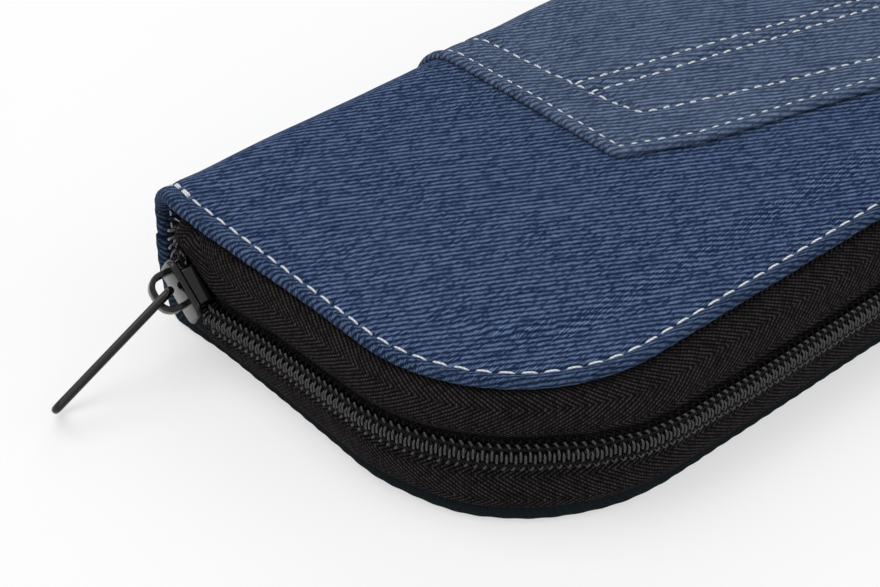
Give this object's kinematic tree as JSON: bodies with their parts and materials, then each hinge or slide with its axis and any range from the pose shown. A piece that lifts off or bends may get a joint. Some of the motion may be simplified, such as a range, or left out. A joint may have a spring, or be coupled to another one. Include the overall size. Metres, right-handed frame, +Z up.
{
  "type": "calculator case",
  "caption": "Zipped soft denim case for a pocket calculator; lid folds flat about a spine, coil zipper round three sides with a sliding puller.",
  "frame": {"origin": "middle of the back cover's outer face, on which the case rests", "axes": "+X along the case away from the slider's end, +Y towards the spine, +Z up through the front cover"},
  "size_m": [0.2312, 0.0961, 0.0282],
  "materials": {
    "denim": "dark blue twill",
    "patch_denim": "washed blue twill",
    "foam": "soft foam",
    "lining_cloth": "plain weave",
    "binding_tape": "ribbed tape",
    "elastic": "ribbed elastic",
    "zipper_tape": "herringbone weave",
    "coil_nylon": "satin",
    "black_metal": "gloss black"
  },
  "bodies": {
    "back_half": {"back_cover": "denim", "back_foam": "foam", "back_lining": "lining_cloth", "back_binding": "binding_tape", "lower_tape": "zipper_tape", "lower_coil": "coil_nylon", "lower_coil_run": "coil_nylon", "lower_coil_end": "coil_nylon", "holding_strap": "elastic"},
    "spine": {"spine_cover": "denim", "spine_foam": "foam", "spine_lining": "lining_cloth"},
    "front_half": {"front_cover": "denim", "front_foam": "foam", "front_lining": "lining_cloth", "front_binding": "binding_tape", "upper_tape": "zipper_tape", "upper_coil": "coil_nylon", "upper_coil_run": "coil_nylon", "upper_coil_end": "coil_nylon", "pocket_patch": "patch_denim", "slip_pocket": "lining_cloth", "slip_pocket_hem": "binding_tape"},
    "slider": {"slider_body": "black_metal", "slider_bail": "black_metal"},
    "puller": {"puller": "black_metal"}
  },
  "joints": [
    {"name": "spine_fold", "type": "hinge", "parent": "back_half", "child": "spine", "pos_m": [0, 0.04472, 0.00278], "axis": [-1, 0, 0], "range_deg": [0, 90], "deforming": ["lower_coil", "upper_coil"]},
    {"name": "front_fold", "type": "hinge", "parent": "spine", "child": "front_half", "pos_m": [0, 0.04472, 0.02422], "axis": [-1, 0, 0], "range_deg": [0, 90]},
    {"name": "slider_slide", "type": "slide", "parent": "back_half", "child": "slider", "axis": [0, -1, 0], "range_m": [0, 0.032], "deforming": ["lower_coil_run", "upper_coil_run"]},
    {"name": "puller_swing", "type": "hinge", "parent": "slider", "child": "puller", "pos_m": [-0.1042, 0.03008, 0.01553], "axis": [0, 0.6293, -0.7771], "range_deg": [0, 105]}
  ],
  "couplings": [
    {"joint": "front_fold", "follows": "spine_fold", "ratio": 1}
  ]
}
